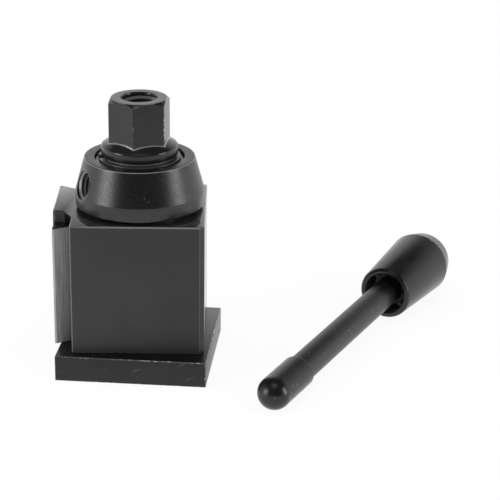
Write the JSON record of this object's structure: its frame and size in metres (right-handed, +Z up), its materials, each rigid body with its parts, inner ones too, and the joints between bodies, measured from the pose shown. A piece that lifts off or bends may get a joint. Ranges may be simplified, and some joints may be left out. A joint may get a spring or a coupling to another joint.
{
  "type": "quick-change lathe tool post",
  "caption": "Wedge-type quick-change tool post with two dovetails, cam ring, hexagon clamp nut and T-nut blank, with its detached lever",
  "frame": {"origin": "on the centre stud's axis, at the underside of the base plate", "axes": "+Z up along the stud, -Y towards the front, tool holders on the left (-X) and rear (+Y) sides"},
  "size_m": [0.1432, 0.1205, 0.0932],
  "materials": {
    "plate_steel": "black oxide, ground",
    "body_steel": "black oxide over fine milling",
    "wedge_steel": "black oxide, ground flank",
    "ring_steel": "black oxide, turned",
    "nut_steel": "black oxide, milled flats",
    "inner_steel": "ground, oiled",
    "rod_steel": "black oxide, satin",
    "knob_plastic": "moulded, glossy black",
    "cap_vinyl": "dipped soft vinyl, black"
  },
  "bodies": {
    "base": {"base_plate": "plate_steel", "centre_stud": "inner_steel"},
    "post": {"post_body": "body_steel", "centre_tube": "inner_steel", "thrust_washer": "inner_steel", "retaining_ring": "inner_steel"},
    "cam": {"cam_ring": "ring_steel", "drive_sleeve": "inner_steel", "ring_keys": "inner_steel"},
    "left_wedge": {"side_wedge": "wedge_steel"},
    "back_wedge": {"rear_wedge": "wedge_steel"},
    "nut": {"clamp_nut": "nut_steel"},
    "lever": {"handle_rod": "rod_steel", "handle_knob": "knob_plastic"},
    "cap": {"thread_cap": "cap_vinyl"}
  },
  "joints": [
    {"name": "post_swivel", "type": "hinge", "parent": "base", "child": "post", "pos_m": [0, 0, 0.009], "axis": [0, 0, 1], "continuous": true},
    {"name": "cam_turn", "type": "hinge", "parent": "post", "child": "cam", "pos_m": [0, 0, 0.0569], "axis": [0, 0, 1], "range_deg": [0, 84]},
    {"name": "side_wedge_slide", "type": "slide", "parent": "post", "child": "left_wedge", "axis": [-0.0523, 0.0905, 0.9945], "range_m": [0, 0.00375]},
    {"name": "rear_wedge_slide", "type": "slide", "parent": "post", "child": "back_wedge", "axis": [-0.0905, 0.0523, 0.9945], "range_m": [0, 0.00375]},
    {"name": "nut_turn", "type": "hinge", "parent": "base", "child": "nut", "pos_m": [0, 0, 0.075], "axis": [0, 0, 1], "continuous": true},
    {"name": "lever_lift", "type": "slide", "parent": "base", "child": "lever", "axis": [0, 0, 1], "range_m": [0, 0.06]},
    {"name": "cap_pull", "type": "slide", "parent": "lever", "child": "cap", "axis": [-0.4758, -0.8781, -0.0515], "range_m": [0, 0.026]}
  ],
  "couplings": [
    {"joint": "side_wedge_slide", "follows": "cam_turn", "m_per_rad": 0.0025605},
    {"joint": "rear_wedge_slide", "follows": "cam_turn", "m_per_rad": 0.0025605}
  ]
}
